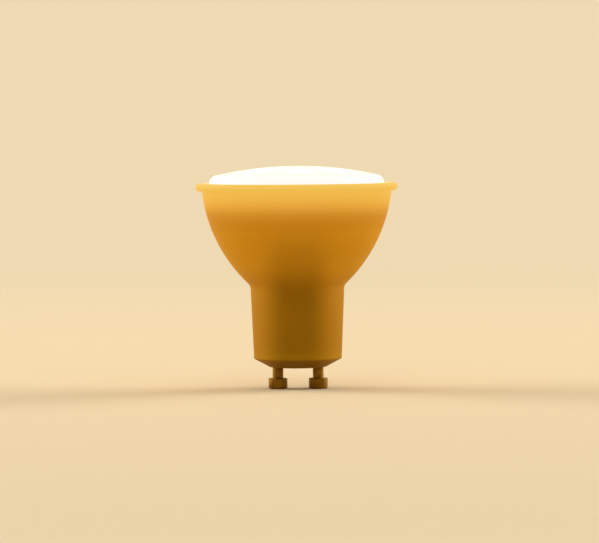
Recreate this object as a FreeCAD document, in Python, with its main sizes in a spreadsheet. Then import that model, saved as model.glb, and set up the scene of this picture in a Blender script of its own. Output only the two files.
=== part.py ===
import FreeCAD, Part
import math
import os
import Sketcher

# A spotlight lamp with LEDs on a GU10 twist-lock base, standing on its two contact pins.
# Millimetres. +Z runs up the lamp's axis from the pins to the diffuser, X runs through both pins,
# and the origin is midway between the pins' tips.

# Driving dimensions: name, value and meaning.
SIZES = [
    ("pin_pitch", 10.0, "between the axes of the two contact pins"),
    ("pin_head_diameter", 4.7, "head that locks behind the keyhole"),
    ("pin_head_length", 2.6, "along the pin"),
    ("pin_chamfer", 0.3, "at the head's free edge"),
    ("pin_neck_diameter", 2.65, "neck that slides in the keyhole"),
    ("pin_neck_length", 2.85, "from the head to the base"),
    ("pin_shank_diameter", 3.4, "part of the pin inside the base"),
    ("pin_clinch_diameter", 4.4, "collar that holds the pin on its boss"),
    ("pin_clinch_thickness", 0.5, "along the pin"),
    ("pin_tube_diameter", 2.2, "tube that takes the mains lead"),
    ("pin_tube_length", 1.6, "above the collar"),
    ("pin_bore_depth", 3.0, "from the tube's mouth"),
    ("pin_boss_diameter", 5.8, "boss inside the base around each pin"),
    ("pin_boss_height", 2.0, "above the base's floor"),
    ("base_flat_diameter", 14.0, "flat end of the base"),
    ("base_chamfer_height", 2.1, "from the flat end up to the neck"),
    ("floor_thickness", 2.0, "floor of the base"),
    ("neck_foot_diameter", 21.8, "neck where the chamfer ends"),
    ("neck_top_diameter", 23.3, "neck where the cup begins"),
    ("neck_length", 18.15, "between those two"),
    ("cup_height", 23.5, "from the neck to the underside of the rim"),
    ("cup_arc_radius", 37.2, "the cup's side seen in section"),
    ("shell_wall", 1.8, "wall of the neck and the cup"),
    ("rim_diameter", 50.0, "whole lamp's width"),
    ("rim_overhang", 1.5, "how far the rim stands out from the cup"),
    ("rim_thickness", 1.9, "from its underside to its top"),
    ("rim_chamfer", 0.45, "at the rim's two outer edges"),
    ("seat_depth", 4.8, "from the top of the rim to the ledge in the mouth"),
    ("seat_width", 0.55, "width of that ledge"),
    ("rail_wall", 1.0, "wall on each side of the driver board's slot"),
    ("rail_grip", 1.2, "how far the rails reach over the board's edge"),
    ("rail_length", 10.0, "slot's length along the board"),
    ("rail_stop", 1.5, "closed end of the slot under the board"),
    ("rail_bite", 0.45, "how far a rail runs into the neck's wall"),
    ("dome_rise", 4.2, "diffuser's height above the rim"),
    ("dome_round", 2.0, "shoulder of the dome seen in section"),
    ("dome_wall", 1.3, "wall of the dome at its middle and inside its shoulder"),
    ("dome_flat_diameter", 16.0, "flat middle of the dome's inner face"),
    ("skirt_wall", 1.2, "wall of the diffuser's skirt"),
    ("lug_count", 4, "snap lugs around the skirt"),
    ("lug_angle", 11.0, "a lug's length in degrees around the axis"),
    ("lug_height", 1.0, "along the axis"),
    ("lug_reach", 0.45, "out from the skirt"),
    ("lug_drop", 1.6, "from the top of the rim to a lug"),
    ("recess_play", 1.0, "degrees that a lug's recess is longer than the lug"),
    ("dish_sheet", 0.9, "sheet of the heat sink dish"),
    ("dish_depth", 5.0, "from the dish's flange to its floor"),
    ("led_board_thickness", 1.2, "aluminium-core board"),
    ("led_ring_diameter", 25.0, "circle of the LEDs' centres"),
    ("led_length", 3.5, "along the circle"),
    ("led_width", 2.8, "towards the axis"),
    ("led_height", 0.7, "above the board"),
    ("led_frame", 0.4, "frame around an LED's window"),
    ("led_window_depth", 0.12, "below the frame"),
    ("screw_pitch", 14.0, "between the two screws of the LED board"),
    ("screw_diameter", 2.0, "shank"),
    ("screw_head_diameter", 3.8, "pan head"),
    ("screw_head_height", 1.3, "above the LED board"),
    ("screw_chamfer", 0.5, "at the head's top edge"),
    ("screw_tail", 1.4, "screw's end below the dish"),
    ("driver_thickness", 1.2, "driver board"),
    ("driver_rise", 4.5, "from the base's floor to the driver board"),
    ("driver_headroom", 2.2, "from the driver board to the dish"),
    ("wire_diameter", 0.9, "mains and LED leads"),
    ("wire_overlap", 2.5, "length of a lead along the driver board"),
    ("wire_end", 0.6, "LED lead's end above the LED board"),
    ("led_wire_pitch", 5.0, "between the two LED leads"),
    ("leg_diameter", 0.7, "wire legs of the larger components"),
    ("leg_tail", 0.8, "leg's end behind the driver board"),
    ("can_diameter", 8.0, "smoothing capacitor"),
    ("can_rise", 6.6, "from the driver board's foot to the can's axis"),
    ("can_leg_pitch", 3.5, "between its legs"),
    ("can_bead_depth", 0.35, "bead pressed into the can near its foot"),
    ("can_bead_place", 1.4, "from the can's foot to that bead"),
    ("crown_gap", 4.0, "from the neck's top to the components in the cup"),
    ("choke_diameter", 7.0, "drum core"),
    ("choke_length", 7.5, "along its axis"),
    ("choke_flange", 1.1, "each end of the drum core"),
    ("choke_hub_diameter", 3.2, "middle of the drum core"),
    ("choke_leg_pitch", 4.4, "between its legs"),
    ("box_leg_pitch", 5.0, "between the legs of the box-shaped components"),
    ("film_width", 4.0, "film capacitor, across the board"),
    ("film_depth", 6.0, "out from the board"),
    ("film_height", 7.5, "along the board"),
    ("fuse_width", 3.6, "fuse, across the board"),
    ("fuse_depth", 5.0, "out from the board"),
    ("fuse_height", 7.0, "along the board"),
    ("chip_rise", 4.2, "from the can's axis to the middle of the chips"),
    ("chip_spread", 3.6, "sideways from the axis to the middle of its chips"),
    ("chip_leg_width", 0.5, "flat legs of the chips"),
    ("chip_leg_thickness", 0.2, "above the board"),
    ("chip_leg_reach", 1.05, "out from the package"),
    ("chip_bevel", 0.3, "at a package's outer edges"),
    ("rectifier_length", 4.7, "along the board"),
    ("rectifier_width", 3.8, "across the board"),
    ("rectifier_height", 2.4, "out from the board"),
    ("rectifier_leg_pitch", 2.5, "between legs on one side"),
    ("driver_chip_length", 4.9, "along the board"),
    ("driver_chip_width", 3.9, "across the board"),
    ("driver_chip_height", 1.5, "out from the board"),
    ("driver_chip_leg_pitch", 1.27, "between legs on one side"),
    ("resistor_length", 3.2, "chip resistor, across the board"),
    ("resistor_width", 1.6, "along the board"),
    ("resistor_height", 0.6, "out from the board"),
    ("resistor_step", 2.6, "between the chip resistors"),
    ("slide_clearance", 0.15, "sliding fits"),
    ("press_clearance", 0.02, "pressed fits"),
    ("hole_clearance", 0.1, "around leads, legs and screws in their holes"),
    ("part_clearance", 0.3, "between components and what stands beside them"),
]

# Levels, radii and places that follow from the driving dimensions.
PLACES = [
    ("base_face", "sizes.pin_head_length + sizes.pin_neck_length"),
    ("floor_top", "base_face + sizes.floor_thickness"),
    ("boss_top", "floor_top + sizes.pin_boss_height"),
    ("pin_top", "boss_top + sizes.pin_clinch_thickness + sizes.pin_tube_length"),
    ("pin_bore_floor", "pin_top - sizes.pin_bore_depth"),
    ("neck_foot", "base_face + sizes.base_chamfer_height"),
    ("neck_top", "neck_foot + sizes.neck_length"),
    ("rim_under", "neck_top + sizes.cup_height"),
    ("rim_top", "rim_under + sizes.rim_thickness"),
    ("dome_top", "rim_top + sizes.dome_rise"),
    ("seat", "rim_top - sizes.seat_depth"),
    ("base_radius", "sizes.base_flat_diameter / 2"),
    ("neck_foot_radius", "sizes.neck_foot_diameter / 2"),
    ("neck_top_radius", "sizes.neck_top_diameter / 2"),
    ("rim_radius", "sizes.rim_diameter / 2"),
    ("mouth_radius", "rim_radius - sizes.rim_overhang"),
    # Centre of the arc that the cup's side follows in section.
    ("half_run", "(mouth_radius - neck_top_radius) / 2"),
    ("half_rise", "sizes.cup_height / 2"),
    ("half_chord", "sqrt(half_run^2 + half_rise^2)"),
    ("arc_reach", "sqrt(sizes.cup_arc_radius^2 - half_chord^2)"),
    ("cup_centre_r", "neck_top_radius + half_run - arc_reach * half_rise / half_chord"),
    ("cup_centre_z", "neck_top + half_rise + arc_reach * half_run / half_chord"),
    # The hollow inside: two cones with a knee between them, a drafted neck and a bevelled floor.
    ("inner_arc", "sizes.cup_arc_radius - sizes.shell_wall"),
    ("seat_radius", "cup_centre_r + sqrt(inner_arc^2 - (seat - cup_centre_z)^2)"),
    ("neck_bore_foot_radius", "neck_foot_radius - sizes.shell_wall"),
    ("neck_bore_top_radius", "neck_top_radius - sizes.shell_wall"),
    ("neck_bore_top", "cup_centre_z - sqrt(inner_arc^2 - (neck_bore_top_radius - cup_centre_r)^2)"),
    ("knee", "(neck_bore_top + seat) / 2"),
    ("knee_radius", "cup_centre_r + sqrt(inner_arc^2 - (knee - cup_centre_z)^2)"),
    ("flare", "(seat_radius - knee_radius) / (seat - knee)"),
    ("chamfer_slope", "sizes.base_chamfer_height / (neck_foot_radius - base_radius)"),
    ("neck_bore_foot", "floor_top + (neck_bore_foot_radius - base_radius) * chamfer_slope"),
    ("draft", "(neck_bore_top_radius - neck_bore_foot_radius) / (neck_bore_top - neck_bore_foot)"),
    ("bore_start", "neck_bore_foot_radius - neck_bore_foot * draft"),
    # The mouth and the diffuser in it.
    ("bore_radius", "seat_radius + sizes.seat_width"),
    ("lens_radius", "bore_radius - sizes.slide_clearance"),
    ("skirt_radius", "lens_radius - sizes.skirt_wall"),
    # The dome's crown is an arc about the axis that runs into the shoulder's arc without a corner.
    ("dome_reach", "lens_radius - sizes.dome_round"),
    ("crown_slack", "2 * (sizes.dome_rise - sizes.dome_round)"),
    ("crown_arc", "(dome_reach^2 + sizes.dome_rise^2 - sizes.dome_round^2) / crown_slack"),
    ("crown_centre", "dome_top - crown_arc"),
    ("crown_share", "crown_arc / (crown_arc - sizes.dome_round)"),
    ("shoulder_radius", "dome_reach * crown_share"),
    ("shoulder_top", "crown_centre + (rim_top - crown_centre) * crown_share"),
    ("dome_flat_radius", "sizes.dome_flat_diameter / 2"),
    ("dome_flat", "crown_centre + sqrt(crown_arc^2 - dome_flat_radius^2) - sizes.dome_wall"),
    ("dome_shoulder", "crown_centre + sqrt(crown_arc^2 - dome_reach^2) - sizes.dome_wall"),
    ("lug_top", "rim_top - sizes.lug_drop"),
    ("lug_foot", "lug_top - sizes.lug_height"),
    ("lug_radius", "lens_radius + sizes.lug_reach"),
    # The dish on the ledge and the LED board on its floor.
    ("dish_top", "seat + sizes.dish_sheet"),
    ("dish_floor", "dish_top - sizes.dish_depth"),
    ("dish_under", "dish_floor - sizes.dish_sheet"),
    ("dish_shoulder_radius", "seat_radius - sizes.slide_clearance"),
    ("dish_under_radius", "dish_shoulder_radius - (seat - dish_under) * flare"),
    ("dish_flange_radius", "dish_shoulder_radius - sizes.dish_sheet"),
    ("dish_floor_radius", "dish_flange_radius - (dish_top - dish_floor) * flare"),
    ("led_board_radius", "dish_floor_radius - sizes.part_clearance"),
    ("led_face", "dish_floor + sizes.led_board_thickness"),
    # The driver board behind the leads, and the rails that hold it.
    ("driver_front", "sizes.wire_diameter / 2 + sizes.press_clearance"),
    ("driver_back", "driver_front + sizes.driver_thickness"),
    ("driver_middle", "(driver_front + driver_back) / 2"),
    ("driver_foot", "floor_top + sizes.driver_rise"),
    ("driver_top", "dish_under - sizes.driver_headroom"),
    ("driver_bore", "bore_start + driver_foot * draft"),
    ("driver_half", "sqrt(driver_bore^2 - driver_back^2) - sizes.part_clearance"),
    ("slot_width", "sizes.driver_thickness + 2 * sizes.slide_clearance"),
    ("slot_half", "driver_half + sizes.slide_clearance"),
    ("rail_foot", "driver_foot - sizes.rail_stop"),
    ("rail_top", "driver_foot + sizes.rail_length"),
    ("rail_tip", "driver_half - sizes.rail_grip"),
    ("rail_root_foot", "bore_start + rail_foot * draft + sizes.rail_bite"),
    ("rail_root_top", "bore_start + rail_top * draft + sizes.rail_bite"),
    # Components on the board's front and back.
    ("standoff", "driver_front - sizes.part_clearance"),
    ("can_level", "driver_foot + sizes.can_rise"),
    ("can_radius", "sizes.can_diameter / 2"),
    ("can_bore", "bore_start + (can_level - can_radius) * draft"),
    ("can_length", "sqrt(can_bore^2 - can_radius^2) - sizes.part_clearance + standoff"),
    ("crown_foot", "neck_top + sizes.crown_gap"),
    ("choke_radius", "sizes.choke_diameter / 2"),
    ("choke_level", "crown_foot + choke_radius"),
    ("film_place", "choke_radius + 2 * sizes.part_clearance + sizes.film_width / 2"),
    ("fuse_place", "-choke_radius - 2 * sizes.part_clearance - sizes.fuse_width / 2"),
    ("chip_level", "can_level + sizes.chip_rise"),
]

LED_COUNT = 8
CHIP_RESISTOR_COUNT = 3
FULL_TURN = 360.0
SAME_PLACE = 1e-4
BOTH_SIDES = (("left", "-"), ("right", ""))

doc = FreeCAD.newDocument("gu10_spotlight_lamp")


def fill_sheets():
    """Put the driving dimensions in one sheet and what follows from them in another."""
    sizes = doc.addObject("Spreadsheet::Sheet", "sizes")
    for row, (name, number, meaning) in enumerate(SIZES, 1):
        sizes.set(f"A{row}", meaning)
        sizes.set(f"B{row}", str(number))
        sizes.setAlias(f"B{row}", name)
    places = doc.addObject("Spreadsheet::Sheet", "places")
    for row, (name, formula) in enumerate(PLACES, 1):
        places.set(f"B{row}", f"={formula}")
        places.setAlias(f"B{row}", name)
    doc.recompute()
    return places


sheet = fill_sheets()


def worth(expression):
    """Present value of an expression."""
    return float(sheet.evalExpression(expression))


def place(part, x="0", y="0", z="0"):
    for axis, expression in (("x", x), ("y", y), ("z", z)):
        part.setExpression(f"Placement.Base.{axis}", expression)


def new_body(label, **where):
    body = doc.addObject("PartDesign::Body", label)
    body.Label = label
    place(body, **where)
    return body


def origin_of(body, role):
    return next(item for item in body.Origin.OriginFeatures if item.Role == role)


def new_sketch(body, name, role, offset="0"):
    """A sketch on one of the body's own planes, moved along the plane's normal."""
    sketch = body.newObject("Sketcher::SketchObject", name)
    sketch.AttachmentSupport = [(origin_of(body, role), "")]
    sketch.MapMode = "FlatFace"
    sketch.setExpression("AttachmentOffset.Base.z", offset)
    return sketch


def bind(sketch, expression, kind, *where):
    """Add a dimension and bind it to an expression."""
    index = sketch.addConstraint(Sketcher.Constraint(kind, *where, worth(expression)))
    sketch.setExpression(f"Constraints[{index}]", expression)


def hold_point(sketch, shape, end, x, y):
    """Hold one point of a sketch at two expressions."""
    for expression, kind, axis in ((x, "DistanceX", -2), (y, "DistanceY", -1)):
        if expression == "0":
            sketch.addConstraint(Sketcher.Constraint("PointOnObject", shape, end, axis))
        else:
            bind(sketch, expression, kind, -1, 1, shape, end)


def add_edge(sketch, start, end, centre):
    """A line, or the shorter arc about a centre. Gives its number and its two ends."""
    first, last = (FreeCAD.Vector(worth(x), worth(y), 0) for x, y in (start, end))
    if centre is None:
        return sketch.addGeometry(Part.LineSegment(first, last)), 1, 2
    middle = FreeCAD.Vector(worth(centre[0]), worth(centre[1]), 0)
    angles = [math.atan2(point.y - middle.y, point.x - middle.x) for point in (first, last)]
    onward = (angles[1] - angles[0]) % (2 * math.pi) <= math.pi
    circle = Part.Circle(middle, FreeCAD.Vector(0, 0, 1), (first - middle).Length)
    arc = Part.ArcOfCircle(circle, *(angles if onward else angles[::-1]))
    return sketch.addGeometry(arc), *((1, 2) if onward else (2, 1))


def outline(sketch, corners, arcs=None):
    """Draw a closed outline through corners; arcs gives (centre, radius) for the edges that are round."""
    edges = []
    for number, (start, end) in enumerate(zip(corners, corners[1:] + corners[:1])):
        centre, radius = (arcs or {}).get(number, (None, None))
        edge, first, last = add_edge(sketch, start, end, centre)
        hold_point(sketch, edge, first, *start)
        if radius:
            bind(sketch, radius, "Radius", edge)
        edges.append((edge, first, last))
    for before, after in zip(edges, edges[1:] + edges[:1]):
        sketch.addConstraint(Sketcher.Constraint("Coincident", before[0], before[2], after[0], after[1]))


def box_outline(sketch, left, right, foot, top):
    outline(sketch, [(left, foot), (right, foot), (right, top), (left, top)])


def middle_box(sketch, width, height):
    """A rectangle about the sketch's origin."""
    box_outline(sketch, f"-({width}) / 2", f"({width}) / 2", f"-({height}) / 2", f"({height}) / 2")


def ring(sketch, x, y, diameter):
    """Draw a circle about a point."""
    middle = FreeCAD.Vector(worth(x), worth(y), 0)
    number = sketch.addGeometry(Part.Circle(middle, FreeCAD.Vector(0, 0, 1), worth(diameter) / 2))
    hold_point(sketch, number, 3, x, y)
    bind(sketch, diameter, "Diameter", number)


def revolve(body, sketch, name, angle=None, cut=False, axis="V_Axis"):
    """Turn a sketch about one of its axes, fully or by an angle centred on its plane."""
    feature = body.newObject("PartDesign::Groove" if cut else "PartDesign::Revolution", name)
    feature.Profile = sketch
    feature.ReferenceAxis = (sketch, [axis])
    feature.Angle = FULL_TURN
    if angle:
        feature.Midplane = True
        feature.setExpression("Angle", angle)
    doc.recompute()
    return feature


def extrude(body, sketch, name, length, cut=False, both_ways=False, reverse=False):
    """Pad a sketch along its normal or pocket it against its normal, unless it is reversed."""
    feature = body.newObject("PartDesign::Pocket" if cut else "PartDesign::Pad", name)
    feature.Profile = sketch
    feature.setExpression("Length", length)
    feature.Reversed = reverse
    if both_ways:
        feature.SideType = "Symmetric"
    doc.recompute()
    return feature


def repeat_around(body, feature, name, count):
    """Copies of a feature evenly around the upright axis."""
    pattern = body.newObject("PartDesign::PolarPattern", name)
    pattern.Originals = [feature]
    pattern.Axis = (origin_of(body, "Z_Axis"), [""])
    pattern.Angle = FULL_TURN
    pattern.setExpression("Occurrences", count)
    body.Tip = pattern
    doc.recompute()


def make_contact_pins():
    """Headed pins, turned from one rod: head, neck, shank, clinched collar and a tube for the lead."""
    head = "sizes.pin_head_diameter / 2"
    neck = "sizes.pin_neck_diameter / 2"
    shank = "sizes.pin_shank_diameter / 2"
    collar = "sizes.pin_clinch_diameter / 2"
    collar_top = "places.boss_top + sizes.pin_clinch_thickness"
    tube = "sizes.pin_tube_diameter / 2"
    bore = "sizes.wire_diameter / 2 + sizes.hole_clearance"
    corners = [
        ("0", "0"),
        (f"{head} - sizes.pin_chamfer", "0"),
        (head, "sizes.pin_chamfer"),
        (head, "sizes.pin_head_length"),
        (neck, "sizes.pin_head_length"),
        (neck, "places.base_face"),
        (shank, "places.base_face"),
        (shank, "places.boss_top"),
        (collar, "places.boss_top"),
        (collar, collar_top),
        (tube, collar_top),
        (tube, "places.pin_top"),
        (bore, "places.pin_top"),
        (bore, "places.pin_bore_floor"),
        ("0", "places.pin_bore_floor"),
    ]
    for side, sign in BOTH_SIDES:
        body = new_body(f"contact_pin_{side}", x=f"{sign}sizes.pin_pitch / 2")
        profile = new_sketch(body, "profile", "XZ_Plane")
        outline(profile, corners)
        revolve(body, profile, "turned_pin")


def make_housing():
    """One moulding: chamfered base, drafted neck, bowl-shaped cup and rim, hollow inside."""
    body = new_body("housing")
    profile = new_sketch(body, "profile", "XZ_Plane")
    corners = [
        ("0", "places.base_face"),
        ("places.base_radius", "places.base_face"),
        ("places.neck_foot_radius", "places.neck_foot"),
        ("places.neck_top_radius", "places.neck_top"),
        ("places.mouth_radius", "places.rim_under"),
        ("places.rim_radius - sizes.rim_chamfer", "places.rim_under"),
        ("places.rim_radius", "places.rim_under + sizes.rim_chamfer"),
        ("places.rim_radius", "places.rim_top - sizes.rim_chamfer"),
        ("places.rim_radius - sizes.rim_chamfer", "places.rim_top"),
        ("places.bore_radius", "places.rim_top"),
        ("places.bore_radius", "places.seat"),
        ("places.seat_radius", "places.seat"),
        ("places.knee_radius", "places.knee"),
        ("places.neck_bore_top_radius", "places.neck_bore_top"),
        ("places.neck_bore_foot_radius", "places.neck_bore_foot"),
        ("places.base_radius", "places.floor_top"),
        ("0", "places.floor_top"),
    ]
    cup_centre = ("places.cup_centre_r", "places.cup_centre_z")
    outline(profile, corners, {3: (cup_centre, "sizes.cup_arc_radius")})
    revolve(body, profile, "shell")
    add_pin_bosses(body)
    add_board_rails(body)
    cut_lug_recesses(body)


def add_pin_bosses(body):
    """Two bosses on the base's floor, bored for the pins' shanks."""
    bosses = new_sketch(body, "boss_rings", "XY_Plane", "places.floor_top - sizes.floor_thickness / 2")
    bores = new_sketch(body, "bore_rings", "XY_Plane", "places.boss_top")
    for _, sign in BOTH_SIDES:
        axis = f"{sign}sizes.pin_pitch / 2"
        ring(bosses, axis, "0", "sizes.pin_boss_diameter")
        ring(bores, axis, "0", "sizes.pin_shank_diameter + 2 * sizes.press_clearance")
    extrude(body, bosses, "pin_bosses", "sizes.pin_boss_height + sizes.floor_thickness / 2")
    extrude(body, bores, "pin_bores", "sizes.pin_boss_height + 2 * sizes.floor_thickness", cut=True)


def add_board_rails(body):
    """A slotted rail on each side of the neck, closed at its foot, that takes the driver board."""
    rails = new_sketch(body, "rail_sides", "XZ_Plane", "-places.driver_middle")
    slots = new_sketch(body, "slot_sides", "XZ_Plane", "-places.driver_middle")
    for _, sign in BOTH_SIDES:
        rail = [
            (f"{sign}places.rail_tip", "places.rail_foot"),
            (f"{sign}places.rail_root_foot", "places.rail_foot"),
            (f"{sign}places.rail_root_top", "places.rail_top"),
            (f"{sign}places.rail_tip", "places.rail_top"),
        ]
        outline(rails, rail)
        inside = f"{sign}(places.rail_tip - sizes.rail_grip)"
        above = "places.rail_top + sizes.rail_stop"
        box_outline(slots, inside, f"{sign}places.slot_half", "places.driver_foot", above)
    extrude(body, rails, "board_rails", "places.slot_width + 2 * sizes.rail_wall", both_ways=True)
    extrude(body, slots, "board_slots", "places.slot_width", cut=True, both_ways=True)


def cut_lug_recesses(body):
    """Blind recesses in the mouth that the diffuser's lugs snap into."""
    recess = new_sketch(body, "recess_section", "XZ_Plane")
    outer = "places.lug_radius + sizes.slide_clearance"
    foot = "places.lug_foot - sizes.slide_clearance"
    top = "places.lug_top + sizes.slide_clearance"
    box_outline(recess, "places.skirt_radius", outer, foot, top)
    groove = revolve(body, recess, "lug_recess", angle="sizes.lug_angle + sizes.recess_play", cut=True)
    repeat_around(body, groove, "lug_recesses", "sizes.lug_count")


def make_diffuser():
    """Domed cover with a skirt that stands on the dish's flange and snaps into the housing's mouth."""
    body = new_body("diffuser")
    profile = new_sketch(body, "profile", "XZ_Plane")
    corners = [
        ("0", "places.dome_flat"),
        ("places.dome_flat_radius", "places.dome_flat"),
        ("places.dome_reach", "places.dome_shoulder"),
        ("places.skirt_radius", "places.rim_top"),
        ("places.skirt_radius", "places.dish_top"),
        ("places.lens_radius", "places.dish_top"),
        ("places.lens_radius", "places.rim_top"),
        ("places.shoulder_radius", "places.shoulder_top"),
        ("0", "places.dome_top"),
    ]
    shoulder = ("places.dome_reach", "places.rim_top"), "sizes.dome_round"
    crown = ("0", "places.crown_centre"), "places.crown_arc"
    outline(profile, corners, {6: shoulder, 7: crown})
    revolve(body, profile, "dome")
    section = new_sketch(body, "lug_section", "XZ_Plane")
    rooted = "places.lens_radius - sizes.skirt_wall / 2"
    corners = [
        (rooted, "places.lug_foot"),
        ("places.lens_radius", "places.lug_foot"),
        ("places.lug_radius", "places.lug_top"),
        (rooted, "places.lug_top"),
    ]
    outline(section, corners)
    lug = revolve(body, section, "lug", angle="sizes.lug_angle")
    repeat_around(body, lug, "lugs", "sizes.lug_count")


def led_board_holes():
    """Holes that the LED board and the dish share: two for the leads, two for the screws."""
    for _, sign in BOTH_SIDES:
        yield f"{sign}sizes.led_wire_pitch / 2", "0", "sizes.wire_diameter + 2 * sizes.hole_clearance"
        yield "0", f"{sign}sizes.screw_pitch / 2", "sizes.screw_diameter + 2 * sizes.hole_clearance"


def make_heat_sink_dish():
    """Pressed dish whose flange lies on the ledge and whose side follows the cup's inner wall."""
    body = new_body("heat_sink_dish")
    profile = new_sketch(body, "profile", "XZ_Plane")
    corners = [
        ("0", "places.dish_under"),
        ("places.dish_under_radius", "places.dish_under"),
        ("places.dish_shoulder_radius", "places.seat"),
        ("places.lens_radius", "places.seat"),
        ("places.lens_radius", "places.dish_top"),
        ("places.dish_flange_radius", "places.dish_top"),
        ("places.dish_floor_radius", "places.dish_floor"),
        ("0", "places.dish_floor"),
    ]
    outline(profile, corners)
    revolve(body, profile, "dish")
    holes = new_sketch(body, "hole_rings", "XY_Plane", "places.dish_floor")
    for x, y, diameter in led_board_holes():
        ring(holes, x, y, diameter)
    extrude(body, holes, "floor_holes", "2 * sizes.dish_sheet", cut=True)


def make_led_board():
    """Round board on the dish's floor."""
    body = new_body("led_board", z="places.dish_floor")
    disc = new_sketch(body, "disc", "XY_Plane")
    ring(disc, "0", "0", "2 * places.led_board_radius")
    for x, y, diameter in led_board_holes():
        ring(disc, x, y, diameter)
    extrude(body, disc, "plate", "sizes.led_board_thickness")


def make_leds():
    """LED packages in a circle, each a flat block with a shallow window, turned towards the axis."""
    reach = "sizes.led_ring_diameter / 2"
    for number in range(LED_COUNT):
        turn = FULL_TURN * number / LED_COUNT
        x, y = f"{reach} * cos({turn} deg)", f"{reach} * sin({turn} deg)"
        body = new_body(f"led_{number + 1}", x=x, y=y, z="places.led_face")
        body.Placement.Rotation = FreeCAD.Rotation(FreeCAD.Vector(0, 0, 1), turn)
        block = new_sketch(body, "block", "XY_Plane")
        middle_box(block, "sizes.led_width", "sizes.led_length")
        extrude(body, block, "package", "sizes.led_height")
        window = new_sketch(body, "window", "XY_Plane", "sizes.led_height")
        open_sides = [f"sizes.led_{side} - 2 * sizes.led_frame" for side in ("width", "length")]
        middle_box(window, *open_sides)
        extrude(body, window, "light_window", "sizes.led_window_depth", cut=True)


def make_board_screws():
    """Pan-head screws through the LED board into the dish's floor."""
    shank = "sizes.screw_diameter / 2"
    head = "sizes.screw_head_diameter / 2"
    tip = "-(sizes.led_board_thickness + sizes.dish_sheet + sizes.screw_tail)"
    corners = [
        ("0", tip),
        (shank, tip),
        (shank, "0"),
        (head, "0"),
        (head, "sizes.screw_head_height - sizes.screw_chamfer"),
        (f"{head} - sizes.screw_chamfer", "sizes.screw_head_height"),
        ("0", "sizes.screw_head_height"),
    ]
    for number, (_, sign) in enumerate(BOTH_SIDES, 1):
        body = new_body(f"board_screw_{number}", y=f"{sign}sizes.screw_pitch / 2", z="places.led_face")
        profile = new_sketch(body, "profile", "XZ_Plane")
        outline(profile, corners)
        revolve(body, profile, "screw")


def driver_holes():
    """Places of the component legs on the driver board."""
    for _, sign in BOTH_SIDES:
        yield f"{sign}sizes.can_leg_pitch / 2", "places.can_level"
        yield f"{sign}sizes.choke_leg_pitch / 2", "places.choke_level"
        for name in ("film", "fuse"):
            middle = f"places.crown_foot + sizes.{name}_height / 2"
            yield f"places.{name}_place", f"{middle} + {sign}sizes.box_leg_pitch / 2"


def make_driver_board():
    """Upright circuit board, drilled for the legs, standing on the closed ends of the two rails."""
    body = new_body("driver_board", y="places.driver_middle")
    plate = new_sketch(body, "plate", "XZ_Plane")
    half = "places.driver_half"
    box_outline(plate, f"-{half}", half, "places.driver_foot", "places.driver_top")
    for x, level in driver_holes():
        ring(plate, x, level, "sizes.leg_diameter + 2 * sizes.hole_clearance")
    extrude(body, plate, "board", "sizes.driver_thickness", both_ways=True)


def add_legs(body, spots):
    """Straight wire legs from a component's foot back through the driver board."""
    rooted = "sizes.part_clearance"
    legs = new_sketch(body, "leg_rings", "XZ_Plane", rooted)
    for x, level in spots:
        ring(legs, x, level, "sizes.leg_diameter")
    reach = f"places.driver_back + sizes.leg_tail - places.standoff + {rooted}"
    extrude(body, legs, "legs", reach, reverse=True)


def make_standing_part(label, level, profile_corners, leg_pitch):
    """A turned component that stands out from the board's front; its profile is (out, radius)."""
    body = new_body(label, y="places.standoff", z=level)
    profile = new_sketch(body, "profile", "XY_Plane")
    outline(profile, [(radius, f"-({out})" if out != "0" else "0") for out, radius in profile_corners])
    revolve(body, profile, "turned_case")
    if leg_pitch:
        add_legs(body, [(f"{sign}{leg_pitch} / 2", "0") for _, sign in BOTH_SIDES])


def make_smoothing_capacitor():
    """Electrolytic can with a pressed bead near its foot, reaching from the board to the neck's wall."""
    side = "places.can_radius"
    bead = "sizes.can_bead_place"
    corners = [
        ("0", "0"),
        ("0", side),
        (f"{bead} - sizes.can_bead_depth", side),
        (bead, f"{side} - sizes.can_bead_depth"),
        (f"{bead} + sizes.can_bead_depth", side),
        ("places.can_length", side),
        ("places.can_length", "0"),
    ]
    make_standing_part("smoothing_capacitor", "places.can_level", corners, "sizes.can_leg_pitch")


def make_choke():
    """Drum core on two legs, and the winding between its flanges."""
    flange = "places.choke_radius"
    hub = "sizes.choke_hub_diameter / 2"
    inner, outer = "sizes.choke_flange", "sizes.choke_length - sizes.choke_flange"
    drum = [
        ("0", "0"),
        ("0", flange),
        (inner, flange),
        (inner, hub),
        (outer, hub),
        (outer, flange),
        ("sizes.choke_length", flange),
        ("sizes.choke_length", "0"),
    ]
    make_standing_part("choke_core", "places.choke_level", drum, "sizes.choke_leg_pitch")
    low, high = f"{hub} + sizes.press_clearance", f"{flange} - sizes.part_clearance"
    turns = [(inner, low), (inner, high), (outer, high), (outer, low)]
    make_standing_part("choke_winding", "places.choke_level", turns, None)


def make_box_component(name, label):
    """A moulded box on the board's front with two legs, one above the other."""
    body = new_body(label, x=f"places.{name}_place", y="places.standoff", z="places.crown_foot")
    plan = new_sketch(body, "plan", "XY_Plane")
    half = f"sizes.{name}_width / 2"
    box_outline(plan, f"-{half}", half, f"-sizes.{name}_depth", "0")
    extrude(body, plan, "case", f"sizes.{name}_height")
    middle = f"sizes.{name}_height / 2"
    add_legs(body, [("0", f"{middle} + {sign}sizes.box_leg_pitch / 2") for _, sign in BOTH_SIDES])


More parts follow.
